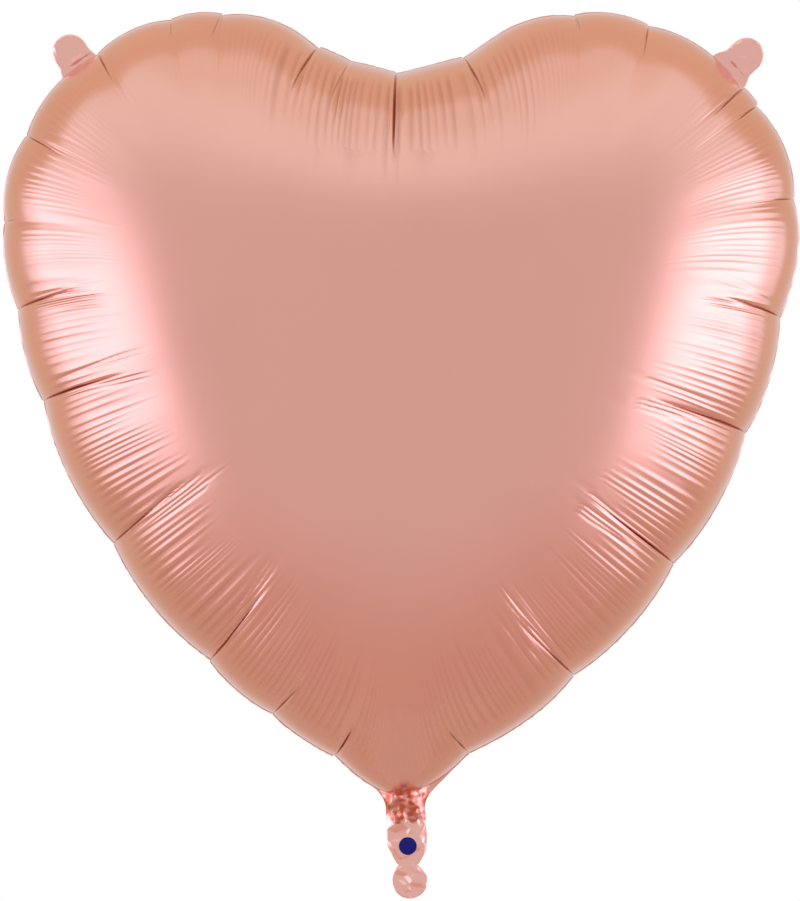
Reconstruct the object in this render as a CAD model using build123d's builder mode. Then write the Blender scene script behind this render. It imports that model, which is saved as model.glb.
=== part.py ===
"""A large heart-shaped foil balloon, inflated, in millimetres.

Two film panels are heat-sealed face to face round a heart-shaped seam. A hanging tab stands on each lobe, and a
flat filling neck with a round tail hangs from the point. A flat two-film valve runs from the neck into the heart.
The seam lies in the XZ plane, the front faces -Y, and the origin is where the neck leaves the heart.
"""

from math import acos, atan2, cos, degrees, radians, sin, sqrt
import os

from build123d import *

# ---- driving dimensions: the heart at its seam --------------------------------------------------
heart_width = 734.0
heart_height = 723.0  # from the seam's lowest point to the top of the lobes
heart_depth = 326.0  # front crown to back crown
lobe_radius = 184.0
side_radius = 635.0  # the long arc from lobe to point
cleft_radius = 185.0  # the hollow between the lobes
tip_radius = 30.0
tip_height = 7.5  # the seam's lowest point above the neck's root
seal_width = 3.0  # welded margin outside the seam

# ---- the swell of the film ----------------------------------------------------------------------
crown_radius = 28.0  # of the lobe arc at the flat crown
crown_share = 0.43  # how far out the crown's edge lies between the middle (0) and the seam (1)
profile_count = 8

# ---- film, drawn thicker than it is -------------------------------------------------------------
panel_film = 0.8
flat_film = 0.6  # each layer of the seam's margin and of the neck
tab_film = 0.3  # each layer of a tab and of the tail
valve_film = 0.2
print_film = 0.15
crease_gap = 0.9  # between pieces that fold against each other

# ---- neck and tail, measured along the neck, which leans ----------------------------------------
neck_lean = 5.5
neck_width = 38.0
neck_root_width = 42.0
neck_flare = 10.0  # length over which the root narrows to the neck
neck_length = 60.0  # root to waist
neck_shoulder = 16.0  # length over which the neck narrows to the waist
neck_corner = 8.0
waist_width = 19.6
tail_radius = 16.0
tail_drop = 16.0  # waist to the middle of the round tail
web_width = 74.0  # the root's web where it meets the heart's sides
web_height = 24.0
dot_radius = 8.0

# ---- valve --------------------------------------------------------------------------------------
valve_width = 24.0
valve_gap = 2.0  # beside the film in its channel
channel_depth = 0.3  # in each layer
valve_stem_length = 24.0
valve_flap_length = 86.0
filling_hole_radius = 5.0
hole_to_waist = 17.0
hole_margin = 2.0  # from the hole's edge to the channel's closed end

# ---- hanging tabs -------------------------------------------------------------------------------
tab_bearing = 48.5  # degrees above horizontal, seen from the lobe's centre
tab_radius = 16.2
tab_reach = 17.0  # margin's edge to the middle of the round end

# ---- worked out from them -----------------------------------------------------------------------
half_depth = heart_depth / 2
crown_inset = lobe_radius - crown_radius
crown_turn = acos(crown_share**2)
film_reach = crown_inset / (1 - crown_share)

lobe_x = heart_width / 2 - lobe_radius
lobe_z = tip_height + heart_height - lobe_radius
cleft_z = lobe_z + sqrt((lobe_radius + cleft_radius) ** 2 - lobe_x**2)
cleft_turn = degrees(atan2(lobe_x, cleft_z - lobe_z))

# The side arc touches the lobe's circle and the tip's circle from outside, so its centre is as far
# from theirs as the radii differ.
tip_z = tip_height + tip_radius
from_tip = side_radius - tip_radius
from_lobe = side_radius - lobe_radius
span = sqrt(lobe_x**2 + (lobe_z - tip_z) ** 2)
along = (span**2 + from_tip**2 - from_lobe**2) / (2 * span)
aside = sqrt(from_tip**2 - along**2)
side_x = (along * lobe_x - aside * (lobe_z - tip_z)) / span
side_z = tip_z + (along * (lobe_z - tip_z) + aside * lobe_x) / span
side_start = degrees(atan2(lobe_z - side_z, lobe_x - side_x))

neck_frame = Plane(
    origin=(0, 0, 0),
    x_dir=(cos(radians(neck_lean)), 0, sin(radians(neck_lean))),
    z_dir=(0, -1, 0),
)
shoulder_height = neck_shoulder - neck_length
channel_width = valve_width + 2 * valve_gap
hole_height = hole_to_waist - neck_length
channel_end = hole_height - filling_hole_radius - hole_margin
tail_height = -neck_length - tail_drop


def heart_outline(inset):
    """Draws the heart, moved inwards by inset, as six arcs that meet at tangents."""
    lobe = lobe_radius - inset
    cleft = cleft_radius + inset
    side = side_radius - inset
    tip = side_z - sqrt((side - tip_radius) ** 2 - side_x**2)
    tip_start = degrees(atan2(tip - side_z, -side_x))
    CenterArc((0, cleft_z), cleft, -90 - cleft_turn, 2 * cleft_turn)
    CenterArc((lobe_x, lobe_z), lobe, side_start, 90 + cleft_turn - side_start)
    CenterArc((side_x, side_z), side, tip_start, side_start - tip_start)
    CenterArc((0, tip), tip_radius, -180 - tip_start, 180 + 2 * tip_start)
    CenterArc((-side_x, side_z), side, 180 - side_start, side_start - tip_start)
    CenterArc((-lobe_x, lobe_z), lobe, 90 - cleft_turn, 90 + cleft_turn - side_start)


def swell(turn):
    """Rise of an inflated film disc from its rim: half the sum of the root of the cosine, up to turn."""
    steps = 200
    slices = [sqrt(cos(turn * (step + 0.5) / steps)) for step in range(steps)]
    return sum(slices) * turn / steps / 2


def film_sections(thickness):
    """Insets and heights of the panel's sections, moved inwards from its outside by thickness."""
    sections = []
    for step in range(profile_count):
        turn = crown_turn * step / (profile_count - 1)
        share = sqrt(cos(turn))
        inset = film_reach * (1 - share)
        height = half_depth * swell(turn) / swell(crown_turn)
        inset_rate = film_reach * sin(turn) / (2 * share)
        height_rate = half_depth * share / 2 / swell(crown_turn)
        rate = sqrt(inset_rate**2 + height_rate**2)
        sections.append((inset + thickness * height_rate / rate, height - thickness * inset_rate / rate))
    return sections


def strip(width, low, high, mode=Mode.ADD):
    """Draws a rectangle between two heights, centred on the sketch's upright axis."""
    with Locations((0, (low + high) / 2)):
        Rectangle(width, high - low, mode=mode)


def neck_outline():
    """Draws the neck from its root to its waist."""
    Polyline(
        (neck_root_width / 2, -crease_gap),
        (neck_width / 2, -neck_flare),
        (neck_width / 2, shoulder_height),
        (waist_width / 2, -neck_length),
        (-waist_width / 2, -neck_length),
        (-neck_width / 2, shoulder_height),
        (-neck_width / 2, -neck_flare),
        (-neck_root_width / 2, -crease_gap),
        close=True,
    )


def tail_outline():
    """Draws the round tail and the short strap that joins it to the waist, clear of the crease."""
    with Locations((0, tail_height)):
        Circle(tail_radius)
    strip(waist_width, tail_height, -neck_length)
    strip(2 * tail_radius, -neck_length - crease_gap, tail_height + 2 * tail_radius, Mode.SUBTRACT)


def tab_outline():
    """Draws a hanging tab with a round end that stands on its root, clear of the crease."""
    with Locations((0, tab_reach)):
        Circle(tab_radius)
    strip(2 * tab_radius, 0, tab_reach)
    strip(2 * tab_radius, tab_reach - 2 * tab_radius, crease_gap, Mode.SUBTRACT)


def tab_frame(side):
    """Plane of a tab: origin on the margin's edge, Y out of the lobe, side is 1 (right) or -1 (left)."""
    bearing = radians(tab_bearing)
    out_x, out_z = side * cos(bearing), sin(bearing)
    root = lobe_radius + seal_width
    return Plane(
        origin=(side * lobe_x + root * out_x, 0, lobe_z + root * out_z),
        x_dir=(out_z, 0, -out_x),
        z_dir=(0, -1, 0),
    )


def finish(piece, name):
    """Labels a finished piece and writes it."""
    piece.part.label = name
    export_step(piece.part, f"parts/{name}.step")


os.makedirs("parts", exist_ok=True)

# ---- heart panels: a swollen film with a flat margin, and a web round the root of the neck ------
with BuildPart() as front_panel:
    for inset, height in film_sections(0):
        with BuildSketch(Plane.XZ.offset(height)):
            with BuildLine():
                heart_outline(inset)
            make_face()
    loft()
    with BuildSketch(Plane.XZ):
        with BuildLine():
            heart_outline(-seal_width)
        make_face()
    extrude(amount=flat_film)
    with BuildSketch(neck_frame):
        with BuildLine():
            Polyline(
                (neck_root_width / 2, 0),
                (web_width / 2, web_height),
                (-web_width / 2, web_height),
                (-neck_root_width / 2, 0),
                close=True,
            )
        make_face()
    extrude(amount=flat_film)
    for inset, height in film_sections(panel_film):
        with BuildSketch(Plane.XZ.offset(height)):
            with BuildLine():
                heart_outline(inset)
            make_face()
    loft(mode=Mode.SUBTRACT)
    with BuildSketch(neck_frame):
        strip(channel_width, 0, web_height)
    extrude(amount=channel_depth, mode=Mode.SUBTRACT)
finish(front_panel, "front_panel")

with BuildPart() as back_panel:
    mirror(front_panel.part, about=Plane.XZ)
finish(back_panel, "back_panel")

# ---- the layers in front of the seam plane (1) and behind it (-1) -------------------------------
for side, layer in ((1, "front"), (-1, "back")):
    with BuildPart() as neck_layer:
        with BuildSketch(neck_frame) as neck_face:
            with BuildLine():
                neck_outline()
            make_face()
            shoulders = neck_face.vertices().group_by(Axis.Y)[1]
            fillet(shoulders, neck_corner)
        extrude(amount=side * flat_film)
        with BuildSketch(neck_frame):
            strip(channel_width, channel_end, 0)
        extrude(amount=side * channel_depth, mode=Mode.SUBTRACT)
        if layer == "back":
            with BuildSketch(neck_frame):
                with Locations((0, hole_height)):
                    Circle(filling_hole_radius)
            extrude(amount=-flat_film, mode=Mode.SUBTRACT)
    finish(neck_layer, f"neck_{layer}_layer")

    with BuildPart() as tail_layer:
        with BuildSketch(neck_frame):
            tail_outline()
        extrude(amount=side * tab_film)
    finish(tail_layer, f"tail_{layer}_layer")

    for hand, name in ((-1, "left"), (1, "right")):
        with BuildPart() as tab_layer:
            with BuildSketch(tab_frame(hand)):
                tab_outline()
            extrude(amount=side * tab_film)
        finish(tab_layer, f"{name}_tab_{layer}_layer")

    # The valve's film lies on the floor of its channel: inlet in the neck, stem in the heart's point,
    # and a flap that stands free inside the heart.
    film_plane = neck_frame.offset(side * channel_depth)
    inlet_end = hole_height + filling_hole_radius + hole_margin
    flap_start = valve_stem_length + crease_gap
    for low, high, name in (
        (inlet_end, -crease_gap, "inlet"),
        (0, valve_stem_length, "stem"),
        (flap_start, flap_start + valve_flap_length, "flap"),
    ):
        with BuildPart() as valve_layer:
            with BuildSketch(film_plane):
                strip(valve_width, low, high)
            extrude(amount=-side * valve_film)
        finish(valve_layer, f"valve_{layer}_{name}")

# ---- the printed dot that marks the filling hole ------------------------------------------------
with BuildPart() as inflation_dot:
    with BuildSketch(neck_frame.offset(flat_film)):
        with Locations((0, hole_height)):
            Circle(dot_radius)
    extrude(amount=print_film)
finish(inflation_dot, "inflation_dot")
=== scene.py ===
from math import atan2, cos, hypot, pi, radians, sin, sqrt

import bpy
import numpy as np
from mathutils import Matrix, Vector


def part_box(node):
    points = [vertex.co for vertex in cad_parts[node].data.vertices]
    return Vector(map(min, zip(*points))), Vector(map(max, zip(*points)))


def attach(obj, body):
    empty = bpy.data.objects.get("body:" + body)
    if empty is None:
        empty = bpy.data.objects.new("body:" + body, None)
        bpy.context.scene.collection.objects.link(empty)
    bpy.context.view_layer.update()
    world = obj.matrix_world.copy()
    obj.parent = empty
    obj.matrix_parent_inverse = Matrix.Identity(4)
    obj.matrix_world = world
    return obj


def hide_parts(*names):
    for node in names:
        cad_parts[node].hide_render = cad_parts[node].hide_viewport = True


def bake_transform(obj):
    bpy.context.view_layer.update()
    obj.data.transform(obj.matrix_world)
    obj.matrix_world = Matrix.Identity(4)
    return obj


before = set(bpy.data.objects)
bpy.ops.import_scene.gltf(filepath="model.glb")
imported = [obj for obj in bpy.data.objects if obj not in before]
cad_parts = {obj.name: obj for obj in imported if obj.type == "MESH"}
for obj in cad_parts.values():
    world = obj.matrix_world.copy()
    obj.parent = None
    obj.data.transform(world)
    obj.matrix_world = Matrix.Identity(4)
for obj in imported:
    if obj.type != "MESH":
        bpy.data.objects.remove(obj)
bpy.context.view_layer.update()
print("frame loaded")


def ease(low, high, x):
    # 0 at low, 1 at high, and a smooth step between them
    t = np.clip((x - low) / (high - low), 0, 1)
    return t * t * (3 - 2 * t)


def wander(x, step, seed):
    # smooth random line: random heights from -1 to 1 every step, eased from one to the next
    count = 512
    knots = np.random.default_rng(seed).uniform(-1, 1, count)
    place = x / step + 1000
    at = np.floor(place).astype(int)
    t = place - at
    t = t * t * (3 - 2 * t)
    return knots[at % count] * (1 - t) + knots[(at + 1) % count] * t


def curveThrough(x, places, values):
    # smooth curve through a few places: cubic between neighbours, with the mean of both slopes at each
    places, values = np.array(places, float), np.array(values, float)
    slopes = np.gradient(values, places)
    x = np.clip(x, places[0], places[-1])
    k = np.clip(np.searchsorted(places, x, side="right") - 1, 0, len(places) - 2)
    gap = places[k + 1] - places[k]
    t = (x - places[k]) / gap
    return ((2 * t**3 - 3 * t**2 + 1) * values[k] + (t**3 - 2 * t**2 + t) * gap * slopes[k]
            + (3 * t**2 - 2 * t**3) * values[k + 1] + (t**3 - t**2) * gap * slopes[k + 1])


def crumple(x, z, foldsAndPaintedShades, size, seed):
    # crushed film: triangle waves in random directions, each bent a little by a slow wave, added up
    chance = np.random.default_rng(seed)
    height = np.zeros_like(x)
    for n in range(foldsAndPaintedShades):
        turn = chance.uniform(0, pi)
        length = size * chance.uniform(0.6, 1.6)
        run = (x * cos(turn) + z * sin(turn)) / length + chance.uniform(0, 1)
        run = run + 0.25 * np.sin((z * cos(turn) - x * sin(turn)) / length * 1.7 + chance.uniform(0, 6))
        height += (np.abs((run % 1) - 0.5) - 0.25) * length * chance.uniform(0.5, 1) / foldsAndPaintedShades
    return height


def addMesh(name, points, faces, body, replaced, material, foldAndPaintedShade=None):
    # puts a surface into the scene in place of its solids, riding on its body; where the body is None, it
    # rides on no body and the caller bakes its place into the mesh
    mesh = bpy.data.meshes.new(name)
    mesh.from_pydata(points.tolist(), [], faces)
    mesh.validate()
    mesh.polygons.foreach_set("use_smooth", [True] * len(mesh.polygons))
    # painted shade, kept on each point for the film's colour
    if foldAndPaintedShade is not None:
        mesh.attributes.new("foldAndPaintedShade", "FLOAT", "POINT").data.foreach_set("value", foldAndPaintedShade.astype(np.float32))
    mesh.materials.append(material)
    piece = bpy.data.objects.new(name, mesh)
    bpy.context.scene.collection.objects.link(piece)
    if body:
        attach(piece, body)
    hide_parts(*replaced)
    return piece


class Socket:
    # a node's output that can be written in sums
    def __init__(self, tree, out):
        self.tree, self.out = tree, out

    def sum(self, kind, a, b=0.0):
        return self.tree.node("ShaderNodeMath", {"operation": kind}, {0: a, 1: b})[0]

    def __add__(self, other):
        return self.sum("ADD", self, other)

    __radd__ = __add__

    def __sub__(self, other):
        return self.sum("SUBTRACT", self, other)

    def __rsub__(self, other):
        return self.sum("SUBTRACT", other, self)

    def __mul__(self, other):
        return self.sum("MULTIPLY", self, other)

    __rmul__ = __mul__

    def size(self):
        return self.sum("ABSOLUTE", self)

    def between(self, low, high):
        # smooth step from 0 at low to 1 at high
        return self.tree.node(
            "ShaderNodeMapRange", {"interpolation_type": "SMOOTHSTEP"},
            {"Value": self, "From Min": low, "From Max": high})[0]


class Tree:
    # builds nodes in one node tree
    def __init__(self, tree):
        self.tree = tree

    def node(self, kind, settings=None, inputs=None):
        made = self.tree.nodes.new(kind)
        for name, value in (settings or {}).items():
            setattr(made, name, value)
        for key, value in (inputs or {}).items():
            if isinstance(value, Socket):
                self.tree.links.new(value.out, made.inputs[key])
            else:
                made.inputs[key].default_value = value
        return [Socket(self, out) for out in made.outputs]

    def mixColour(self, share, a, b):
        return self.node("ShaderNodeMix", {"data_type": "RGBA"}, {0: share, 6: a, 7: b})[2]


heart = {
    "lobeRadius": 0.184,
    "sideRadius": 0.635,
    "cleftRadius": 0.185,
    "tipRadius": 0.030,
    "tipHeight": 0.0075,
    "margin": 0.003,  # welded edge outside the seam, of which the swollen film hides the inner part
    "hidden": 0.0016,
    "crown": 0.1615,  # height of the front's middle over the seam plane
    "sources": 200,  # of the height field, and how far outside the seam they lie
    "sourceGap": 0.045,
    "middleDrop": 0.09,  # from the lobes' centres down to the field's middle
    "columns": 2400,
    "levels": 34,  # rings between the seam and the inner contour
    "innerShare": 0.45,  # of the inner contour, where the seam is 1 and the highest point 0
    "innerRings": 18,
    "fullRings": 28,  # rings with all the columns, then rings with a quarter, and past them one in 24
    "quarterRings": 12,
    "filmStart": 0.0013,  # height over the seam plane where the swollen film starts
}

low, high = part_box("front_panel")
halfWidth = high.x - heart["margin"]
lobeX = halfWidth - heart["lobeRadius"]
lobeZ = high.z - heart["margin"] - heart["lobeRadius"]


def seamArcs():
    # the right half as four arcs that meet at tangents, from the cleft's floor to the tip:
    # centre x, centre z, radius, first angle, last angle, and 1 or -1 for which side the heart is on
    lobe, side, cleft, tip = (heart[k] for k in ("lobeRadius", "sideRadius", "cleftRadius", "tipRadius"))
    tipZ = heart["tipHeight"] + tip
    cleftZ = lobeZ + sqrt((lobe + cleft) ** 2 - lobeX**2)
    turn = atan2(lobeX, cleftZ - lobeZ)
    span = hypot(lobeX, lobeZ - tipZ)
    along = (span**2 + (side - tip) ** 2 - (side - lobe) ** 2) / (2 * span)
    aside = sqrt((side - tip) ** 2 - along**2)
    sideX = (along * lobeX - aside * (lobeZ - tipZ)) / span
    sideZ = tipZ + (along * (lobeZ - tipZ) + aside * lobeX) / span
    start = atan2(lobeZ - sideZ, lobeX - sideX)
    end = atan2(tipZ - sideZ, -sideX)
    return np.array([
        (0, cleftZ, cleft, -pi / 2, -pi / 2 + turn, -1),
        (lobeX, lobeZ, lobe, pi / 2 + turn, start, 1),
        (sideX, sideZ, side, start, end, 1),
        (0, tipZ, tip, end, -pi / 2, 1),
    ])


arcs = seamArcs()
arcEnds = np.cumsum(arcs[:, 2] * np.abs(arcs[:, 4] - arcs[:, 3]))
halfSeam = arcEnds[-1]
seamLength = 2 * halfSeam

# Each pair: distance along the seam from the cleft, and how far the seam lies outside the arcs there. It is
# drawn in at the cleft and on the shoulders, and runs straighter towards the tip.
seamShifts = [
    (0, -0.0075), (0.05, -0.002), (0.09, 0.001), (0.15, 0.001), (0.20, -0.002), (0.25, -0.005),
    (0.31, -0.0075), (0.36, -0.007), (0.41, -0.0045), (0.46, -0.0015), (0.50, 0.001), (0.58, -0.001),
    (0.70, 0), (0.85, -0.001), (1.00, -0.003), (1.09, -0.004), (1.13, -0.0005), (halfSeam, 0),
]


def seamAt(s):
    # point and outward normal at a distance s along the seam, clockwise from the cleft's floor
    s = s % seamLength
    mirrored = s > halfSeam
    right = np.where(mirrored, seamLength - s, s)
    k = np.minimum(np.searchsorted(arcEnds, right), 3)
    x, z, radius, first, last, side = arcs[k].T
    begun = np.where(k > 0, arcEnds[k - 1], 0)
    turn = first + np.sign(last - first) * (right - begun) / radius
    sign = np.where(mirrored, -1, 1)
    reach = radius + side * curveThrough(right, *zip(*seamShifts))
    point = np.stack([sign * (x + reach * np.cos(turn)), z + reach * np.sin(turn)], -1)
    normal = np.stack([sign * side * np.cos(turn), side * np.sin(turn)], -1)
    return point, normal


def solvePotential():
    # the height field of a soap film under pressure: minus a quarter of the squared distance from the
    # middle, plus the logarithms of the distances to sources outside, so that it is nought on the seam
    count = heart["sources"]
    point, normal = seamAt(np.arange(count) * seamLength / count)
    outside = point + heart["sourceGap"] * normal
    rim, _ = seamAt(np.arange(4 * count) * seamLength / count / 4)
    middle = np.array([0, lobeZ - heart["middleDrop"]])
    logs = np.log(np.linalg.norm(rim[:, None] - outside[None], axis=-1))
    system = np.hstack([logs, np.ones((len(rim), 1))])
    wanted = ((rim - middle) ** 2).sum(-1) / 4
    return outside, middle, np.linalg.lstsq(system, wanted, rcond=None)[0]


sources, filmMiddle, weights = solvePotential()


def potential(p):
    # value and gradient of the height field at points p
    away = p[:, None] - sources[None]
    squared = (away**2).sum(-1)
    value = -((p - filmMiddle) ** 2).sum(-1) / 4 + (np.log(squared) / 2) @ weights[:-1] + weights[-1]
    slope = -(p - filmMiddle) / 2 + ((weights[:-1] / squared)[..., None] * away).sum(1)
    return value, slope


def findTop():
    # climbs the height field to its highest point: returns the point and its value
    p = filmMiddle[None].copy()
    for _ in range(200):
        p = p + 0.5 * potential(p)[1]
    return p[0], potential(p)[0][0]


filmTop, topValue = findTop()

swellTurns = np.linspace(0, pi / 2, 4001)
swellSums = np.concatenate([[0], np.cumsum(np.sqrt(np.cos((swellTurns[1:] + swellTurns[:-1]) / 2)))])
swellSums = swellSums * (swellTurns[1] / 2)


def swell(share):
    # rise of an inflated film disc at a share of its radius, where the rise in the middle is 1: half the sum
    # of the root of the cosine, up to the angle whose cosine is the share squared
    turn = np.arccos(np.clip(share**2, 0, 1))
    return np.interp(turn, swellTurns, swellSums) / swellSums[-1]


# Each tuck: how far it lies from the cleft along the seam (right positive), how far it runs in, how far its
# inner end leans along the seam, and how deep it is.
tucks = [
    (-0.004, 0.098, 0.000, 1.0), (0.058, 0.056, 0.006, 0.7), (0.170, 0.020, 0.003, 0.3),
    (0.240, 0.036, 0.005, 0.5), (0.351, 0.048, 0.002, 0.7), (0.372, 0.030, 0.002, 0.5),
    (0.469, 0.028, 0.000, 0.5), (0.580, 0.062, -0.006, 1.0), (0.692, 0.100, 0.006, 1.0),
    (0.831, 0.100, -0.002, 1.0), (0.971, 0.084, 0.010, 1.0), (1.093, 0.036, 0.006, 0.8),
    (-0.046, 0.050, -0.006, 0.35), (-0.078, 0.058, -0.008, 0.8), (-0.174, 0.028, -0.009, 0.5),
    (-0.222, 0.020, -0.003, 0.35), (-0.300, 0.036, -0.004, 0.6), (-0.406, 0.046, -0.005, 0.7),
    (-0.490, 0.014, 0.000, 0.4), (-0.572, 0.070, 0.007, 1.0), (-0.660, 0.086, -0.003, 1.0),
    (-0.808, 0.098, 0.012, 1.0), (-0.950, 0.092, 0.007, 1.0), (-1.027, 0.042, -0.006, 0.8),
    (-1.096, 0.036, -0.001, 0.8),
]
tuckPlaces = np.sort(np.array([t[0] for t in tucks]) % seamLength)

# The hanging tabs: place along the seam, middle of the root, way out in degrees, reach to the middle of the
# round end, its radius, half the width of the root, and the seed of the creases.
tabs = {
    "left": {"place": -0.321, "root": (-0.2990, 0.6830), "turn": 123.3, "reach": 0.0150, "radius": 0.0163,
             "foot": 0.0190, "seed": 51},
    "right": {"place": 0.330, "root": (0.3080, 0.6800), "turn": 42.9, "reach": 0.0188, "radius": 0.0160,
              "foot": 0.0205, "seed": 64},
}

pucker = {
    "crowding": 4.5,  # extra density of the columns at a tuck, and how far it reaches
    "crowdingReach": 0.0042,
    "scallop": 0.042,  # swelling between two tucks, as a share of their distance, up to a widest distance
    "scallopWidest": 0.13,
    "scallopReach": 0.085,
    "tuckDepth": 0.0040,
    "tuckWidth": 0.0006,
    "lineWidth": 0.00045,  # of the painted shade line in the bottom of a tuck
    "fanFolds": 4,  # shallow folds that spread from the inner half of a tuck
    "fanDepth": 0.0010,
    "fanWidth": 0.0013,
    "rippleLength": 0.0070,
    "rippleDepth": 0.00036,
    # the next sets the painted shade in the ripples' hollows
    "rippleShade": 0.22,
    "rippleStart": 0.019,
    "rippleEnd": 0.105,
    "slowLength": 0.035,  # slow waves that make the light's edge wander
    "slowDepth": 0.0007,
}

# Each pair: distance along the seam from the cleft, and how strong the ripples are there.
rippleStrengths = [
    (0, 1.5), (0.1, 1.1), (0.17, 0.12), (0.30, 0.12), (0.42, 0.5),
    (0.55, 0.7), (0.68, 1.0), (0.95, 1.0), (1.05, 0.75), (halfSeam, 0.2),
]


def seamColumns():
    # distances along the seam, closer together at the tucks
    fine = np.linspace(0, seamLength, 40001)
    crowding = np.ones_like(fine)
    for place, _, _, _ in tucks:
        gap = (fine - place + halfSeam) % seamLength - halfSeam
        crowding += pucker["crowding"] * np.exp(-((gap / pucker["crowdingReach"]) ** 2))
    sums = np.concatenate([[0], np.cumsum((crowding[1:] + crowding[:-1]) / 2)])
    wanted = np.arange(heart["columns"]) * sums[-1] / heart["columns"]
    return np.interp(wanted, sums, fine)


def scallops(s):
    # one swelling between each two tucks: 0.36 less the power 2.2 of a share that is 0 midway and 1 at the
    # tucks
    s = s % seamLength
    k = np.searchsorted(tuckPlaces, s)
    before = np.where(k > 0, tuckPlaces[k - 1], tuckPlaces[-1] - seamLength)
    after = np.where(k < len(tuckPlaces), tuckPlaces[k % len(tuckPlaces)], tuckPlaces[0] + seamLength)
    gap = after - before
    share = 2 * (s - before) / gap - 1
    return pucker["scallop"] * np.minimum(gap, pucker["scallopWidest"]) * (0.36 - np.abs(share) ** 2.2)


def fromTuck(s, place, lean, share):
    # distance along the seam from a tuck's line, which leans more and more as its share of the reach grows
    return (s - place + halfSeam) % seamLength - halfSeam - lean * np.clip(share, 0, 1.4) ** 1.3


def ripples(s, inset, seed):
    # fine ripples square to the seam, from about -1 to 1, strong on the sides and weak on top of the lobes:
    # a wave and its half wave, whose phase wanders, in a band with ragged ends
    far = np.minimum(s % seamLength, seamLength - s % seamLength)
    strength = curveThrough(far, *zip(*rippleStrengths))
    phase = s / pucker["rippleLength"] + 1.1 * wander(s, 0.03, seed + 1) + 0.2 * wander(s, 0.008, seed + 2)
    phase = phase + 0.25 * wander(s, 0.02, seed + 3) * inset / 0.08
    wave = np.cos(2 * pi * phase) + 0.3 * np.cos(4 * pi * phase + 0.8)
    start = pucker["rippleStart"] * (1 + 0.12 * wander(s, 0.007, seed + 4))
    end = pucker["rippleEnd"] * (1 + 0.25 * wander(s, 0.009, seed + 5))
    band = ease(start - 0.006, start + 0.006, inset) * (1 - ease(0.45, 1.0, inset / end))
    uneven = 0.8 + 0.35 * wander(s, 0.011, seed + 6)
    return strength * band * uneven * wave


def puckers(s, inset, seed, lengths=1.0):
    # how far the film stands out of its smooth shape, at a distance s along the seam and inset from it: the
    # swellings, less the tucks and the folds that fan out from them, plus ripples and slow waves; where
    # lengths isn't 1, each tuck's reach is changed by chance
    chance = np.random.default_rng(seed)
    height = scallops(s) * (1 - ease(0, pucker["scallopReach"], inset))
    for place, reach, lean, depth in tucks:
        reach = reach * (1 if lengths == 1.0 else chance.uniform(0.6, 1.25) * lengths)
        share = inset / reach
        gap = fromTuck(s, place, lean, share)
        near = np.abs(gap) < 0.04
        width = pucker["tuckWidth"] * (0.8 + 1.4 * share)
        fall = pucker["tuckDepth"] * depth * (0.25 + 0.75 * ease(0, 0.012, inset))
        fall = fall * np.clip(1 - share**2, 0, 1)
        height -= np.where(near, fall * np.exp(-np.abs(gap) / width), 0)
        spread = ease(0.15, 0.6, share) * (1 - ease(0.9, 1.45, share)) * min(1, reach / 0.05)
        for n in range(pucker["fanFolds"]):
            side = 1 - 2 * ((n + (chance.uniform() < 0.3)) % 2)
            offset = side * (0.0018 + 0.0022 * n + 0.003 * share * (1 + n))
            fall = pucker["fanDepth"] * depth * chance.uniform(0.5, 1)
            foldAndPaintedShade = fall * np.exp(-(((gap - offset) / pucker["fanWidth"]) ** 2))
            height -= np.where(near, foldAndPaintedShade * spread, 0)
    height += pucker["rippleDepth"] * ripples(s, inset, seed)
    slow = pucker["slowDepth"] * wander(s, pucker["slowLength"], seed + 7)
    return height + slow * ease(0.008, 0.03, inset) * (1 - ease(0.05, 0.13, inset))


def paintedFoldShade(s, inset, seed):
    # painted shade for the film's colour: 1 in the bottom of a tuck, where the film meets itself and no
    # light gets in, falling off to both sides, and a little in the ripples' hollows, where the film mirrors
    # itself
    dark = pucker["rippleShade"] * np.clip(-ripples(s, inset, seed), 0, 2)
    for place, reach, lean, depth in tucks:
        share = inset / reach
        gap = fromTuck(s, place, lean, share)
        width = pucker["lineWidth"] * (0.8 + 0.8 * np.clip(share, 0, 1))
        along = (0.45 + 0.55 * ease(0.1, 0.35, share)) * (1 - ease(0.65, 1.0, share))
        dark = np.maximum(dark, min(1, depth + 0.2) * along * np.exp(-((gap / width) ** 2)))
    return dark


def ringFaces(counts):
    # faces between rings whose number of points stays or falls by a whole factor, and a fan at the end
    faces = []
    base = 0
    for n, m in zip(counts, counts[1:]):
        step = n // m
        i = np.arange(m)
        after = (i + 1) % m
        outer = [base + (i * step + j) % n for j in range(step + 1)]
        ring = np.stack(outer + [base + n + after, base + n + i], -1)
        faces += ring.tolist()
        base += n
    n = counts[-1]
    i = np.arange(n)
    faces += np.stack([base + i, base + (i + 1) % n, np.full(n, base + n)], -1).tolist()
    return faces


def traceFilm():
    # lines of steepest rise from the seam to an inner contour: returns the columns' places along the seam,
    # and each ring's points, its share (the field is the top's value times 1 less the share squared) and its
    # insets from the seam
    s = seamColumns()
    rim, _ = seamAt(s)
    steps = np.linspace(0, 1, heart["levels"] + 1)
    shares = 1 - (1 - heart["innerShare"]) * steps**2
    rings = [rim]

    def rate(p, share):
        slope = potential(p)[1]
        return -2 * share * topValue * slope / (slope**2).sum(-1)[:, None]

    p = rim
    for before, after in zip(shares, shares[1:]):
        parts = 3 if before > 0.97 else 1  # smaller steps beside the seam
        for part in range(parts):
            here = before + (after - before) * part / parts
            gap = (after - before) / parts
            half = p + rate(p, here) * gap / 2
            p = p + rate(half, here + gap / 2) * gap
        rings.append(p)
    insets = [np.linalg.norm(r - rim, axis=-1) for r in rings]
    return s, rings, shares, insets


columnPlaces, filmRings, filmShares, filmInsets = traceFilm()
print("heart traced:", len(columnPlaces), "columns,", len(filmRings), "rings")


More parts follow.
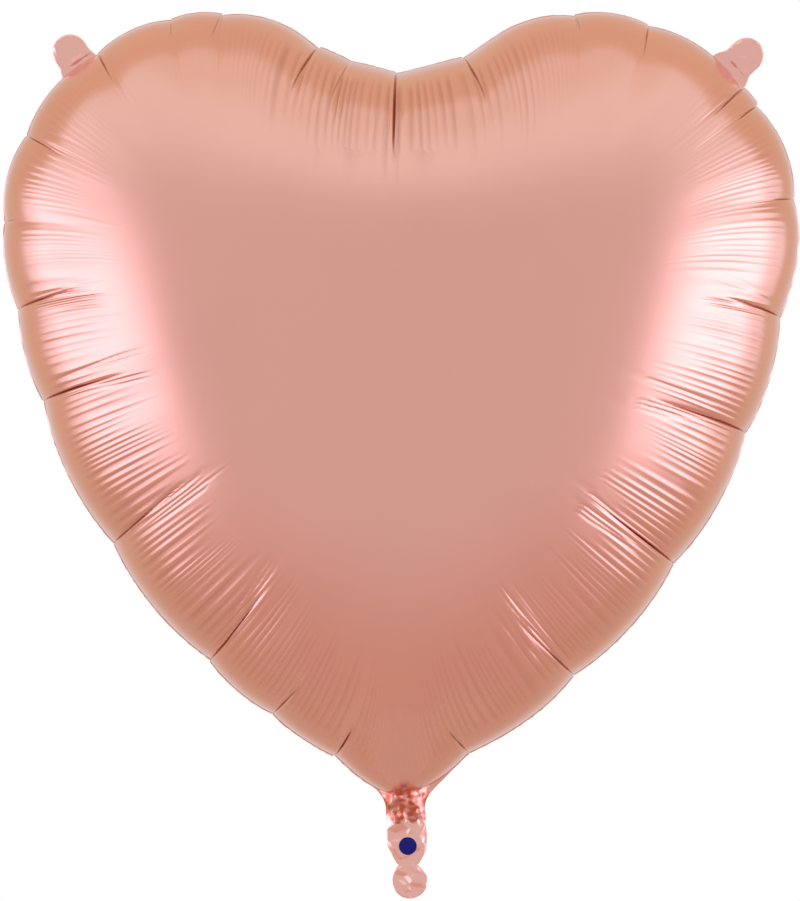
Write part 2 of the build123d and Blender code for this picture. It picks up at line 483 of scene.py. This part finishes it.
def marginSway():
    # how far the welded edge waves out of the seam plane; it is still at the tip and at the tabs
    sway = 0.0007 * wander(columnPlaces, 0.012, 5) + 0.0009 * wander(columnPlaces, 0.04, 6)
    for place in (halfSeam, tabs["left"]["place"] % seamLength, tabs["right"]["place"]):
        sway = sway * (1 - np.exp(-(((columnPlaces - place) / 0.03) ** 2)))
    return sway


def sheetPoints(side, seed, lengths):
    # the panel's points: the welded margin, then the smooth swollen film, moved along its normal by the
    # puckers, in the traced rings and in rings that close in straight on the top; side is -1 in front
    margin = heart["margin"] - heart["hidden"]
    count = heart["columns"]
    rim, out = seamAt(columnPlaces)
    shift = puckers(columnPlaces, np.zeros(count), seed, lengths) + heart["hidden"]
    sway = marginSway()
    frayed = 0.0003 * wander(columnPlaces, 0.0035, 7)
    points, counts = [], []
    # painted shade for the film's colour at each point; the welded edge gets 0.3 of the seam's
    foldsAndPaintedShades = [paintedFoldShade(columnPlaces, np.zeros(count), seed) * 0.3] * 3
    for reach, thick in ((1.0, 0.0), (0.9, 0.0002), (0.4, 0.0009)):
        plan = rim + out * (shift + margin * reach + frayed * (reach > 0.9))[:, None]
        points.append(np.stack([plan[:, 0], sway * reach + side * thick, plan[:, 1]], -1))
        counts.append(count)
    rise = swellSums[-1] / heart["crown"]
    rings = list(zip(filmRings, filmShares, filmInsets))
    inner = filmRings[-1]
    for n in range(1, heart["innerRings"]):
        share = 1 - n / heart["innerRings"]
        rings.append((filmTop + (inner - filmTop) * share, None, filmInsets[-1] + (1 - share) * 0.2))
    for n, (plan, share, inset) in enumerate(rings):
        step = 1 if n < heart["fullRings"] else 4 if n < heart["fullRings"] + heart["quarterRings"] else 24
        plan, inset, place = plan[::step], inset[::step], columnPlaces[::step]
        value, slope = potential(plan)
        if share is None:
            share = np.sqrt(np.clip(1 - value / topValue, 1e-9, 1))
        else:
            share = np.full(len(plan), share)
        height = heart["crown"] * swell(share)
        flat = (share / (2 * topValue))[:, None] * -slope
        normal = np.concatenate([flat, (rise * np.sqrt(1 - np.clip(share, 0, 1) ** 4))[:, None]], -1)
        normal /= np.linalg.norm(normal, axis=-1)[:, None]
        near = inset.min() < 0.2  # further in there are no puckers
        lift = puckers(place, inset, seed, lengths) if near else np.zeros(len(place))
        lift = lift + heart["hidden"] * (1 - ease(0, 0.1, inset))
        foldsAndPaintedShades.append(paintedFoldShade(place, inset, seed) if near else lift * 0)
        points.append(np.stack([
            plan[:, 0] + lift * normal[:, 0],
            side * (height + lift * normal[:, 2] + (heart["filmStart"] if n == 0 else 0)),
            plan[:, 1] + lift * normal[:, 1]], -1))
        counts.append(len(plan))
    points.append(np.array([[filmTop[0], side * heart["crown"], filmTop[1]]]))
    foldsAndPaintedShades.append(np.zeros(1))
    return np.concatenate(points), counts, np.concatenate(foldsAndPaintedShades)


def newMaterial(name):
    material = bpy.data.materials.new(name)
    material.use_nodes = True
    material.node_tree.nodes.clear()
    return material, Tree(material.node_tree)


def filmMaterial(name, colour, paintedShadeColour, roughness, grain, crushed):
    # metallised film: a metal with a fine satin grain, slightly uneven gloss, and a thin clear coat; its
    # colour turns to a painted shade colour where the mesh's painted shade attribute is 1, and crushed film
    # has small facets with soft edges
    material, tree = newMaterial(name)
    place = tree.node("ShaderNodeTexCoord")[3]
    cloud = tree.node("ShaderNodeTexNoise", None, {"Vector": place, "Scale": 9.0, "Detail": 3.0})[0]
    specks = tree.node("ShaderNodeTexNoise", None, {"Vector": place, "Scale": 900.0, "Detail": 2.0})[0]
    stretched = tree.node("ShaderNodeMapping", None, {"Vector": place, "Scale": (40.0, 40.0, 700.0)})[0]
    rolled = tree.node("ShaderNodeTexNoise", None, {"Vector": stretched, "Scale": 1.0, "Detail": 2.0})[0]
    deep = [c * 0.975 for c in colour]
    tint = tree.mixColour(cloud.between(0.35, 0.7), (*colour, 1), (*deep, 1))
    # painted shade: the mesh's attribute darkens the colour in tucks, ripple hollows and the gathered neck
    foldAndPaintedShade = tree.node("ShaderNodeAttribute", {"attribute_name": "foldAndPaintedShade"})[2]
    tint = tree.mixColour(foldAndPaintedShade, tint, (*paintedShadeColour, 1))
    gloss = roughness + (cloud - 0.5) * 0.02 + (rolled - 0.5) * 0.02
    bumpHeight = specks * 0.5 + rolled * 0.5
    bump = tree.node("ShaderNodeBump", None, {"Strength": 0.25, "Distance": grain, "Height": bumpHeight})[0]
    if crushed:
        cells = tree.node("ShaderNodeTexVoronoi", {"feature": "DISTANCE_TO_EDGE"},
                          {"Vector": place, "Scale": 95.0})[0]
        bump = tree.node("ShaderNodeBump", None, {
            "Strength": 0.35, "Distance": crushed, "Height": cells.between(0.0, 0.08), "Normal": bump})[0]
    shader = tree.node("ShaderNodeBsdfPrincipled", None, {
        "Base Color": tint, "Roughness": gloss, "Metallic": 1.0, "Normal": bump,
        "Coat Weight": 0.25, "Coat Roughness": 0.12})[0]
    tree.node("ShaderNodeOutputMaterial", None, {"Surface": shader})
    return material


# the second colour of each film is painted shade, for its tucks, ripple hollows and gathered neck
heartFilm = filmMaterial("roseFilm", (0.86, 0.42, 0.342), (0.24, 0.05, 0.032), 0.22, 0.00004, 0)
looseFilm = filmMaterial("crushedRoseFilm", (0.95, 0.505, 0.425), (0.56, 0.11, 0.06), 0.14, 0.00003, 0.0001)


def plainMaterial(name, colour, deepShare, roughness, shine, scale):
    # ink, clear film or floor: a colour that drifts softly to a deeper one, with a faint grain
    material, tree = newMaterial(name)
    place = tree.node("ShaderNodeTexCoord")[3]
    cloud = tree.node("ShaderNodeTexNoise", None, {"Vector": place, "Scale": scale, "Detail": 4.0})[0]
    deep = [c * deepShare for c in colour]
    tint = tree.mixColour(cloud.between(0.3, 0.7), (*colour, 1), (*deep, 1))
    bump = tree.node("ShaderNodeBump", None, {"Strength": 0.2, "Distance": 0.00003, "Height": cloud})[0]
    shader = tree.node("ShaderNodeBsdfPrincipled", None, {
        "Base Color": tint, "Roughness": roughness + (cloud - 0.5) * 0.1, "Normal": bump,
        "Specular IOR Level": shine})[0]
    tree.node("ShaderNodeOutputMaterial", None, {"Surface": shader})
    return material


dotInk = plainMaterial("blueInk", (0.007, 0.007, 0.17), 0.8, 0.3, 0.15, 700.0)
clearFilm = plainMaterial("valveFilm", (0.8, 0.8, 0.78), 0.8, 0.25, 0.5, 120.0)


def addPanel(name, side, seed, lengths, node):
    points, counts, foldsAndPaintedShades = sheetPoints(side, seed, lengths)
    faces = ringFaces(counts)
    if side < 0:
        faces = [f[::-1] for f in faces]
    addMesh(name, points, faces, "heart", [node], heartFilm, foldsAndPaintedShades)


addPanel("front_heart_film", -1, 11, 1.0, "front_panel")
addPanel("back_heart_film", 1, 37, 0.9, "back_panel")
print("heart panels done")

neck = {
    "rows": 170,
    "columns": 90,
    "top": 0.030,
    "waist": -0.0595,
    "edges": [  # height, left edge and right edge
        (-0.0600, -0.0025, 0.0165), (-0.054, -0.0062, 0.0200), (-0.048, -0.0092, 0.0230),
        (-0.042, -0.0122, 0.0250), (-0.030, -0.0135, 0.0254), (-0.015, -0.0135, 0.0232),
        (-0.004, -0.0142, 0.0228), (0.004, -0.0178, 0.0258), (0.012, -0.0248, 0.0325),
        (0.020, -0.0345, 0.0405), (0.030, -0.0470, 0.0500),
    ],
    "swell": [  # height, and half the distance between the layers in the middle
        (-0.060, 0.0008), (-0.045, 0.0024), (-0.025, 0.0028), (-0.019, 0.0036), (-0.010, 0.0068),
        (-0.002, 0.0090), (0.006, 0.0100), (0.012, 0.0108), (0.030, 0.0115),
    ],
    "fluteDepth": 0.0011,
    "foldSize": 0.019,
    "foldDepth": 0.9,
    "valveRoom": 0.0005,  # kept free on each side of the seam plane
    "hole": (0.0041, -0.0428),  # filling hole in the back film
    "holeRadius": 0.005,
    "holeStart": 0.0012,  # radius of the film that is cut out before the rest is pushed back
    "holeReach": 0.011,
    "holeShade": 0.0016,  # how far the painted shade round the hole reaches
}
tail = {
    "rows": 80,
    "columns": 60,
    "top": -0.0560,
    "middle": (0.0087, -0.0753),
    "radius": 0.0162,
    "waist": 0.0094,
    "swell": 0.0012,
    "foldSize": 0.015,
    "foldDepth": 0.9,
}
tabLayer = {
    "rows": 80,
    "columns": 60,
    "bottom": -0.006,
    "swell": 0.0011,
    "foldSize": 0.011,
    "foldDepth": 0.5,
    "weldPlace": 0.0055,
    "weldWidth": 0.0022,
    "weldHeight": 0.0010,
}
dot = {"middle": (0.0068, -0.0425), "radius": 0.0083, "proud": 0.00012, "rings": 14, "columns": 64}


def layerGrid(rows, columns):
    # how far down its rows each point of a layer's grid lies, from 0 to 1, and how far across, from -1 to 1
    # and closer together at the edges
    down = np.linspace(0, 1, rows)[:, None] * np.ones(columns)
    across = np.sin(np.linspace(-pi / 2, pi / 2, columns))[None] * np.ones((rows, 1))
    return down, across


def layerFaces(points, rows, columns, side, pointed):
    # quads of a grid whose points run row by row, turned to face away from the seam plane; a pointed layer's
    # last row is one point with triangles round it
    i, j = np.meshgrid(np.arange(rows - 1 - pointed), np.arange(columns - 1), indexing="ij")
    first = (i * columns + j).ravel()
    faces = np.stack([first, first + 1, first + columns + 1, first + columns], -1).tolist()
    if pointed:
        tip = (rows - 1) * columns
        last = tip - columns + np.arange(columns - 1)
        faces += np.stack([last, last + 1, np.full(columns - 1, tip)], -1).tolist()
        points = points[:tip + 1]
    a, b, c = (points[[f[k] for f in faces]] for k in range(3))
    facing = np.cross(b - a, c - a)[:, 1].sum() * side
    return points, [f[::-1] for f in faces] if facing < 0 else faces


def weldedApart(loose):
    # half the distance between two flat layers: they meet at the welded edge, where loose is 0
    return 0.0002 * np.clip(8 * loose, 0, 1)


def narrowed(half):
    # fades a layer's swelling where its half width falls towards a round end
    return np.minimum(1, half / 0.008)


def neckEdges(z):
    # middle and half width of the neck at a height
    heights, lefts, rights = zip(*neck["edges"])
    left = curveThrough(z, heights, lefts)
    right = curveThrough(z, heights, rights)
    return (left + right) / 2, (right - left) / 2


def neckDepth(x, z, side):
    # a flat tube that swells towards the heart, with flutes where it is gathered, crushed in both layers
    # alike; the hyperbolic tangent holds the crush to the room that the valve leaves on the layer's side
    middle, half = neckEdges(z)
    across = (x - middle) / half
    loose = np.clip(1 - across**2, 0, 1)
    spread = 1 - ease(-0.004, 0.016, z)
    rise = curveThrough(z, *zip(*neck["swell"])) * (loose**0.7 * spread + loose**3 * (1 - spread))
    gathered = ease(-0.026, -0.012, z) * (1 - ease(0.004, 0.014, z))
    flutes = neck["fluteDepth"] * gathered * crumple(x * 9, z * 2.2, 4, 0.05, 8) / 0.01 * loose
    crush = neck["foldDepth"] * crumple(x, z, 5, neck["foldSize"], 21) * (0.35 + 0.65 * loose)
    crush = crush * (1 - ease(0.000, 0.012, z)) * ease(neck["waist"] - 0.004, neck["waist"] + 0.008, z)
    room = np.maximum(rise - neck["valveRoom"], 0.0001)
    return room * np.tanh(crush / room) + side * (rise + flutes + weldedApart(loose))


def openHole(points, faces):
    # pushes the film outwards from the middle of the hole, and drops the faces left inside it: the new
    # distance is the hole's radius plus the share (reach - hole) / (reach - start) of what is past the start
    start, hole, reach = neck["holeStart"], neck["holeRadius"], neck["holeReach"]
    away = points[:, [0, 2]] - np.array(neck["hole"])
    far = np.linalg.norm(away, axis=-1)
    pushed = hole + np.clip(far - start, 0, None) * (reach - hole) / (reach - start)
    moved = np.where(far < reach, pushed, far)
    plan = np.array(neck["hole"]) + away * (moved / np.maximum(far, 1e-9))[:, None]
    x, z = plan.T
    keep = (far >= start)[np.array(faces)].all(-1)
    return np.stack([x, neckDepth(x, z, 1), z], -1), np.array(faces)[keep].tolist()


def neckShade(x, z):
    # painted shade and painted reflection for the film's colour: 1 where the neck is gathered under the
    # heart and its film mirrors only itself, ragged at the lower end, and nearly 1 round the filling hole;
    # less on the root's web, which mirrors the heart
    ragged = 0.0045 * wander(x, 0.006, 14) + 0.10 * x
    patches = crumple(x * 1.4, z * 1.4, 4, 0.012, 9) / 0.0012
    gathered = ease(-0.0195, -0.0175, z + ragged) * (1 - ease(0.004, 0.012, z))
    gathered = gathered * np.clip(0.75 + 0.5 * patches, 0.25, 1)
    far = np.hypot(x - neck["hole"][0], z - neck["hole"][1])
    hollow = 0.9 - 0.9 * ease(neck["holeRadius"], neck["holeRadius"] + neck["holeShade"], far)
    web = 0.3 * ease(0.000, 0.010, z)
    return np.maximum(np.maximum(gathered, hollow), web)


def neckPoints(side):
    # rows down the neck from its top inside the heart to the waist
    down, across = layerGrid(neck["rows"], neck["columns"])
    z = neck["top"] + (neck["waist"] - neck["top"]) * down
    middle, half = neckEdges(z)
    x = middle + across * half
    return np.stack([x, neckDepth(x, z, side), z], -1).reshape(-1, 3)


def tailPoints(side):
    # rows down from inside the waist to the round end: the wider of the strap and the circle, smoothed by
    # the fifth root of the sum of their fifth powers
    middleX, middleZ = tail["middle"]
    down, across = layerGrid(tail["rows"], tail["columns"])
    bottom = middleZ - tail["radius"]
    z = tail["top"] + (bottom - tail["top"]) * np.sin(down * pi / 2) ** 1.2
    circle = np.sqrt(np.clip(tail["radius"] ** 2 - (z - middleZ) ** 2, 0, None))
    strap = np.where(z > middleZ, tail["waist"], 0)
    middle, half = neckEdges(np.maximum(z, neck["edges"][0][0]))
    below = ease(-0.0585, -0.0610, z)
    half = half * 0.97 * (1 - below) + (circle**5 + strap**5) ** 0.2 * below
    middle = middle + (middleX - middle) * (1 - ease(-0.072, -0.058, z))
    x = middle + across * half
    loose = 1 - across**2
    swelling = tail["swell"] * loose**0.7 * narrowed(half)
    crush = tail["foldDepth"] * crumple(x, z, 5, tail["foldSize"], 33) * (0.4 + 0.6 * loose)
    crush = crush * ease(-0.056, -0.064, z)
    apart = weldedApart(loose * narrowed(half)) / 2
    return np.stack([x, crush + side * (swelling + apart), z], -1).reshape(-1, 3)


def tabPoints(tab, side):
    # rows out from inside the seam to the round end; the foot flares, and a weld line crosses it
    down, across = layerGrid(tabLayer["rows"], tabLayer["columns"])
    bottom, top = tabLayer["bottom"], tab["reach"] + tab["radius"]
    out = bottom + (top - bottom) * np.sin(down * pi / 2)
    past = np.clip(out - tab["reach"], 0, tab["radius"])
    half = np.sqrt(tab["radius"] ** 2 - past**2)
    half = half + (tab["foot"] - tab["radius"]) * (1 - ease(-0.004, 0.010, out))
    along = across * half
    way = radians(tab["turn"])
    x = tab["root"][0] + out * cos(way) + along * sin(way)
    z = tab["root"][1] + out * sin(way) - along * cos(way)
    crush = tabLayer["foldDepth"] * crumple(x, z, 6, tabLayer["foldSize"], tab["seed"])
    crush = crush * ease(0.0, 0.012, out)
    weld = tabLayer["weldHeight"] * np.exp(-(((out - tabLayer["weldPlace"]) / tabLayer["weldWidth"]) ** 2))
    loose = 1 - across**2
    swelling = (tabLayer["swell"] * ease(0.004, 0.016, out) + weld) * loose**0.6 * narrowed(half)
    apart = weldedApart(loose * narrowed(half))
    return np.stack([x, crush + side * (swelling + apart), z], -1).reshape(-1, 3)


for side, layer in ((-1, "front"), (1, "back")):
    points, faces = layerFaces(neckPoints(side), neck["rows"], neck["columns"], side, False)
    if side > 0:
        points, faces = openHole(points, faces)
    # the neck films carry painted shade and painted reflection for their colour
    piece = addMesh(f"{layer}_neck_film", points, faces, None,
                    [f"neck_{layer}_layer"], looseFilm, neckShade(points[:, 0], points[:, 2]))
    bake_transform(piece)

    points, faces = layerFaces(tailPoints(side), tail["rows"], tail["columns"], side, True)
    piece = addMesh(f"{layer}_tail_film", points, faces, None,
                    [f"tail_{layer}_layer"], looseFilm)
    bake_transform(piece)

    for name, tab in tabs.items():
        points, faces = layerFaces(tabPoints(tab, side), tabLayer["rows"], tabLayer["columns"], side, True)
        piece = addMesh(f"{name}_tab_{layer}_film", points, faces, None,
                        [f"{name}_tab_{layer}_layer"], looseFilm)
        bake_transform(piece)
print("neck, tail and tabs done")


def addDot():
    # printed disc that follows the neck's front film, in rings that close in on its middle
    rings, count = dot["rings"], dot["columns"]
    middleX, middleZ = dot["middle"]
    turn = np.linspace(0, 2 * pi, count + 1)[:-1]
    radius = dot["radius"] * (1 - np.arange(rings) / rings)[:, None]
    x = np.append((middleX + radius * np.cos(turn)).ravel(), middleX)
    z = np.append((middleZ + radius * np.sin(turn)).ravel(), middleZ)
    points = np.stack([x, neckDepth(x, z, -1) - dot["proud"], z], -1)
    addMesh("printed_dot", points, ringFaces([count] * rings), "neck", ["inflation_dot"], dotInk)


addDot()

for name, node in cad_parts.items():
    if name.startswith("valve"):
        node.data.materials.clear()
        node.data.materials.append(clearFilm)
print("dot and valve done")


def addLight():
    # a soft studio all round, mixed by direction: each row is laid over the ones before it, as far as its
    # share says; the camera itself sees plain white
    world = bpy.data.worlds.new("studio")
    bpy.context.scene.world = world
    world.use_nodes = True
    world.node_tree.nodes.clear()
    tree = Tree(world.node_tree)
    direction = tree.node("ShaderNodeTexCoord")[0]
    x, y, z = tree.node("ShaderNodeSeparateXYZ", None, {0: direction})
    towards = y * -1.0
    aside = x.size()
    front = towards.between(-0.30, 0.05)
    lampBand = z.between(-0.58, -0.08) * z.between(0.42, 0.0)
    lateral = z.between(-0.5, -0.2) * z.between(0.4, 0.1) * aside.between(0.5, 0.8)
    behind = (towards + lateral * (0.42 + x * 0.08)).between(0.06, -0.08)
    colour = (0.75, 0.75, 0.77, 1)
    for share, tint in (
            (aside.between(0.5, 0.85) * z.between(-0.6, -0.3), (1.10, 1.20, 1.32, 1)),  # at the sides
            (z.between(0.35, 0.75), (0.96, 1.07, 1.08, 1)),  # above
            (z.between(0.80, 0.95), (0.92, 0.94, 0.86, 1)),  # straight above
            ((z - aside * 0.2).between(-0.30, -0.85), (0.68, 0.54, 0.48, 1)),  # below
            ((x * -1.0).between(0.50, 0.84) * lampBand * front, (1.95, 1.95, 2.4, 1)),  # left lamp
            (x.between(0.58, 0.88) * lampBand * front, (2.3, 2.3, 2.8, 1)),  # right lamp
            (behind, (0.75, 0.65, 0.50, 1)),  # the room behind
            (behind * z.between(0.3, 0.8), (0.80, 0.69, 0.53, 1)),  # its ceiling
            (behind * z.between(-0.1, -0.7), (0.66, 0.54, 0.44, 1)),  # its floor
            (y.between(0.72, 0.96), (0.76, 0.74, 0.73, 1))):  # straight behind
        colour = tree.mixColour(share, colour, tint)
    soft = tree.node("ShaderNodeBackground", None, {"Color": colour, "Strength": 1.0})[0]
    white = tree.node("ShaderNodeBackground", None, {"Color": (1, 1, 1, 1), "Strength": 1.0})[0]
    seen = tree.node("ShaderNodeLightPath")[0]
    mixed = tree.node("ShaderNodeMixShader", None, {0: seen, 1: soft, 2: white})[0]
    tree.node("ShaderNodeOutputWorld", None, {"Surface": mixed})


floorDisc = {"radius": 0.7, "height": -1.4, "corners": 96}
view = {
    "distance": 4.0,
    "middle": (-0.0005, 0.325),
    "height": 0.8375696,  # of what it sees in the seam plane
    "sensor": 36,
}


def addFloor():
    # a pale disc well below the balloon
    count = floorDisc["corners"]
    turn = np.linspace(0, 2 * pi, count + 1)[:-1]
    x, y = floorDisc["radius"] * np.cos(turn), floorDisc["radius"] * np.sin(turn)
    mesh = bpy.data.meshes.new("floor")
    ring = np.stack([x, y, np.full(count, floorDisc["height"])], -1)
    mesh.from_pydata(ring.tolist(), [], [list(range(count))])
    floor = bpy.data.objects.new("floor", mesh)
    bpy.context.scene.collection.objects.link(floor)
    mesh.materials.append(plainMaterial("paleFloor", (0.78, 0.69, 0.65), 0.97, 0.8, 0.5, 3.0))


def addCamera():
    # straight in front of the balloon
    camera = bpy.data.cameras.new("camera")
    camera.sensor_fit = "VERTICAL"
    camera.sensor_height = view["sensor"]
    camera.lens = view["sensor"] * view["distance"] / view["height"]
    camera.clip_end = 50
    holder = bpy.data.objects.new("camera", camera)
    bpy.context.scene.collection.objects.link(holder)
    holder.location = (view["middle"][0], -view["distance"], view["middle"][1])
    holder.rotation_euler = (pi / 2, 0, 0)
    bpy.context.scene.camera = holder
    bpy.context.scene.view_settings.view_transform = "Standard"


addLight()
addFloor()
addCamera()
print("light, floor and camera done")
